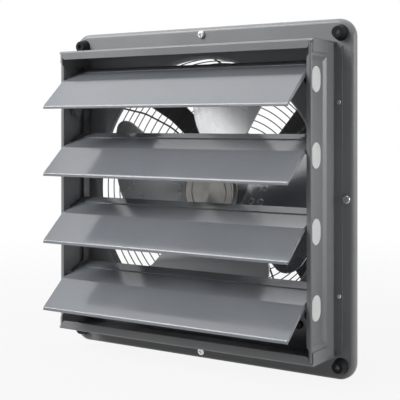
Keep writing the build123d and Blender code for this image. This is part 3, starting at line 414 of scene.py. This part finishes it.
floor_z = cad_box[0][2]
floor_reach = 6.0
floor_corners = [(-floor_reach, -floor_reach, floor_z), (floor_reach, -floor_reach, floor_z),
                 (floor_reach, floor_reach, floor_z), (-floor_reach, floor_reach, floor_z)]
floor_mesh = bpy.data.meshes.new("floor")
floor_mesh.from_pydata(floor_corners, [], [(0, 1, 2, 3)])
floor = bpy.data.objects.new("floor", floor_mesh)
bpy.context.collection.objects.link(floor)


def plain_rays(tree):
    """1 for the rays that see the plain white background: camera, glossy and transmission."""
    rays = tree.nodes.new("ShaderNodeLightPath")
    either = math_node(tree, "MAXIMUM", rays.outputs["Is Camera Ray"], rays.outputs["Is Glossy Ray"])
    return math_node(tree, "MAXIMUM", either, rays.outputs["Is Transmission Ray"])


def mix_shader(tree, factor, first, second):
    """One shader blended into another."""
    node = tree.nodes.new("ShaderNodeMixShader")
    tree.links.new(factor, node.inputs["Fac"])
    tree.links.new(first, node.inputs[1])
    tree.links.new(second, node.inputs[2])
    return node.outputs["Shader"]


def dimmed(tree, vector):
    """Strength of the white surroundings: full when seen, low reflected from the front right."""
    slant = tree.nodes.new("ShaderNodeVectorMath")
    slant.operation = "DOT_PRODUCT"
    tree.links.new(vector, slant.inputs[0])
    slant.inputs[1].default_value = (-0.6, 0.8, 0.0)
    seen = tree.nodes.new("ShaderNodeLightPath").outputs["Is Camera Ray"]
    reflected = remap(tree, slant.outputs["Value"], 0.1, 1.0, -0.75, 0.0)
    return math_node(tree, "MAXIMUM", reflected, seen)


floor_paint, tree, shader = new_material("floor_white", Roughness=0.9, Specular_IOR_Level=0.1)
place = tree.nodes.new("ShaderNodeTexCoord").outputs["Object"]
floor_tone = mix_colour(tree, noise(tree, place, 3.0, 2.0), (0.38, 0.38, 0.38), (0.42, 0.42, 0.42))
tree.links.new(floor_tone, shader.inputs["Base Color"])
glow = tree.nodes.new("ShaderNodeEmission")
far = tree.nodes.new("ShaderNodeVectorMath")
far.operation = "LENGTH"
tree.links.new(place, far.inputs[0])
fade = remap(tree, far.outputs["Value"], 0.9, 1.0, 0.3, 1.4)
tree.links.new(dimmed(tree, place), glow.inputs["Strength"])
tree.links.new(
    mix_shader(tree, math_node(tree, "MULTIPLY", plain_rays(tree), fade),
          shader.outputs["BSDF"], glow.outputs["Emission"]),
    tree.nodes["Material Output"].inputs["Surface"],
)
floor_mesh.materials.append(floor_paint)

world = bpy.data.worlds.new("studio")
bpy.context.scene.world = world
world.use_nodes = True
tree = world.node_tree
soft = tree.nodes["Background"]
soft.inputs["Color"].default_value = (1.0, 1.0, 1.0, 1.0)
soft.inputs["Strength"].default_value = 0.06
white = tree.nodes.new("ShaderNodeBackground")
white.inputs["Color"].default_value = (1.0, 1.0, 1.0, 1.0)
toward = tree.nodes.new("ShaderNodeTexCoord").outputs["Generated"]
tree.links.new(dimmed(tree, toward), white.inputs["Strength"])
tree.links.new(
    mix_shader(tree, plain_rays(tree), soft.outputs["Background"], white.outputs["Background"]),
    tree.nodes["World Output"].inputs["Surface"],
)


def soft_light(name, place, aim, size, power):
    """A square area light at a place, facing a point."""
    data = bpy.data.lights.new(name, "AREA")
    data.shape = "RECTANGLE"
    data.size, data.size_y = size
    data.energy = power
    light = bpy.data.objects.new(name, data)
    light.location = place
    light.rotation_euler = (Vector(aim) - Vector(place)).to_track_quat("-Z", "Y").to_euler()
    bpy.context.collection.objects.link(light)


soft_light("overhead", (-0.3, 0.1, 1.7), (0.0, 0.0, 0.0), (2.2, 2.2), 16.5)
soft_light("front", (-1.3, -1.6, 1.4), (0.0, 0.0, 0.0), (1.3, 1.3), 54.0)
soft_light("side", (2.1, 0.1, 0.3), (0.0, 0.0, 0.0), (1.0, 1.0), 19.0)
soft_light("strip", (-1.9, 0.05, 0.2), (0.0, 0.0, 0.0), (0.1, 1.4), 1.3)

# The camera solved from the photo: lengths in its pixels, the turn in degrees.
photo_width = 400.0
focal_length = 964.6
centre_right = -1.6
centre_up = -75.5
turn_left = 33.4

camera_data = bpy.data.cameras.new("camera")
camera_data.lens = camera_data.sensor_width * focal_length / photo_width
camera_data.shift_x = centre_right / photo_width
camera_data.shift_y = centre_up / photo_width
camera = bpy.data.objects.new("camera", camera_data)
camera.location = (0.617, -0.926, 0.0794)
camera.rotation_euler = (math.radians(90.0), 0.0, math.radians(turn_left))
bpy.context.collection.objects.link(camera)
bpy.context.scene.camera = camera
bpy.context.scene.view_settings.view_transform = "Standard"
